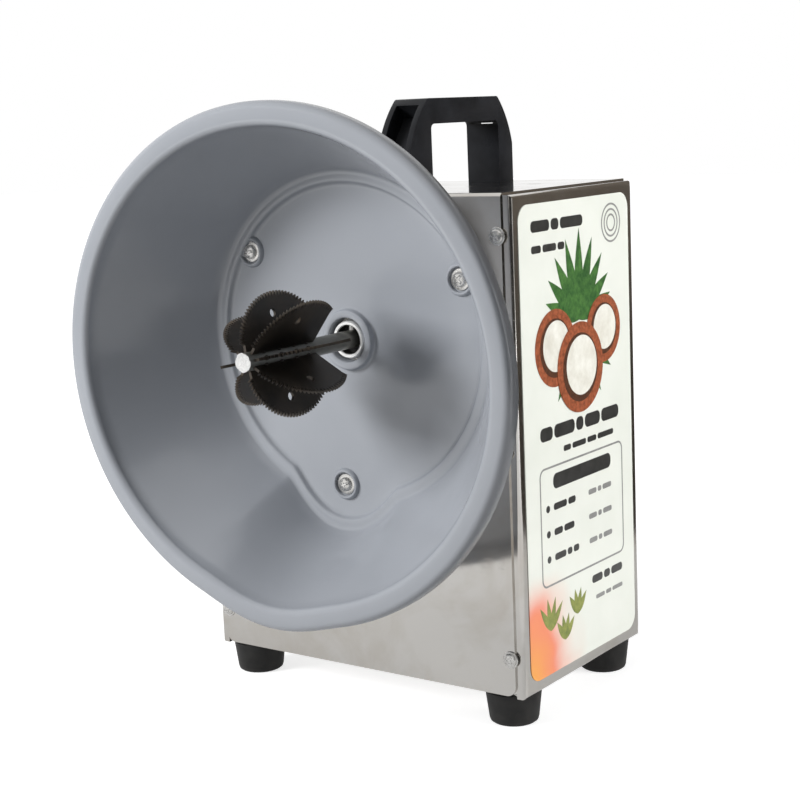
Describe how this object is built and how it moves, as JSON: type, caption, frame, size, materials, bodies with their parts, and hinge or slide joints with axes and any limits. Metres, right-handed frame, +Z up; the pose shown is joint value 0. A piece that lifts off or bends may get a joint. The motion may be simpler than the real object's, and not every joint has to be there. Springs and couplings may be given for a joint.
{
  "type": "electric coconut grater",
  "caption": "Bench coconut grater: steel housing on rubber feet, moulded bowl in front, motor-driven toothed cutter, carrying handle, speed knob and rocker switch at the rear.",
  "frame": {"origin": "centre of the bounding box in X and Y, on the floor under the rubber feet", "axes": "+Z up, -Y out of the bowl towards the user, +X to the side that carries the label"},
  "size_m": [0.292, 0.242, 0.3395],
  "materials": {
    "steel_sheet": "polished",
    "label_film": "satin",
    "black_plastic": "satin",
    "rocker_plastic": "gloss",
    "foot_rubber": "matt",
    "bowl_plastic": "satin gloss",
    "zinc_steel": "zinc plated",
    "bright_screw": "bright",
    "cast_alloy": "as cast",
    "motor_paint": "satin",
    "magnet_ferrite": "matt",
    "carbon": "matt",
    "bearing_steel": "ground",
    "spindle_steel": "ground",
    "lamination": "matt",
    "copper": "turned",
    "fan_plastic": "matt",
    "cutter_steel": "dark, oiled",
    "board": "lacquered",
    "capacitor_sleeve": "gloss"
  },
  "bodies": {
    "housing": {"front_sheet": "steel_sheet", "right_panel": "steel_sheet", "left_panel": "steel_sheet", "rear_panel": "steel_sheet", "base_plate": "steel_sheet", "side_label": "label_film", "handle": "black_plastic", "handle_screws": "zinc_steel", "feet": "foot_rubber", "foot_screws": "zinc_steel", "foot_nuts": "zinc_steel", "front_screws": "bright_screw", "rear_screws": "bright_screw", "bowl": "bowl_plastic", "bowl_screws": "bright_screw", "bowl_washers": "bright_screw", "bowl_nuts": "zinc_steel", "bearing_carrier": "cast_alloy", "carrier_screws": "zinc_steel", "carrier_nuts": "zinc_steel", "front_bearing_outer": "bearing_steel", "rear_bearing_outer": "bearing_steel", "motor_shell": "motor_paint", "motor_cap": "cast_alloy", "magnets": "magnet_ferrite", "brushes": "carbon", "speed_control": "board", "speed_control_nut": "zinc_steel", "switch_body": "black_plastic", "cable_gland": "black_plastic", "gland_nut": "black_plastic", "control_board": "board", "board_posts": "zinc_steel", "board_screws": "zinc_steel", "heat_sink": "cast_alloy", "capacitor": "capacitor_sleeve"},
    "cutter": {"spindle": "spindle_steel", "cutter_rod": "cutter_steel", "cutter_blades": "cutter_steel", "lock_screw": "zinc_steel", "front_bearing_inner": "bearing_steel", "rear_bearing_inner": "bearing_steel", "rotor_core": "lamination", "commutator": "copper", "fan": "fan_plastic"},
    "speed_knob": {"speed_knob": "black_plastic", "speed_shaft": "spindle_steel"},
    "switch_rocker": {"switch_rocker": "rocker_plastic"}
  },
  "joints": [
    {"name": "cutter_spin", "type": "hinge", "parent": "housing", "child": "cutter", "pos_m": [0, -0.026, 0.2095], "axis": [0, -1, 0], "continuous": true},
    {"name": "speed_turn", "type": "hinge", "parent": "housing", "child": "speed_knob", "pos_m": [0.055, 0.114, 0.08], "axis": [0, 1, 0], "range_deg": [0, 280]},
    {"name": "switch_rock", "type": "hinge", "parent": "housing", "child": "switch_rocker", "pos_m": [0.005, 0.105, 0.08], "axis": [1, 0, 0], "range_deg": [0, 20]}
  ]
}
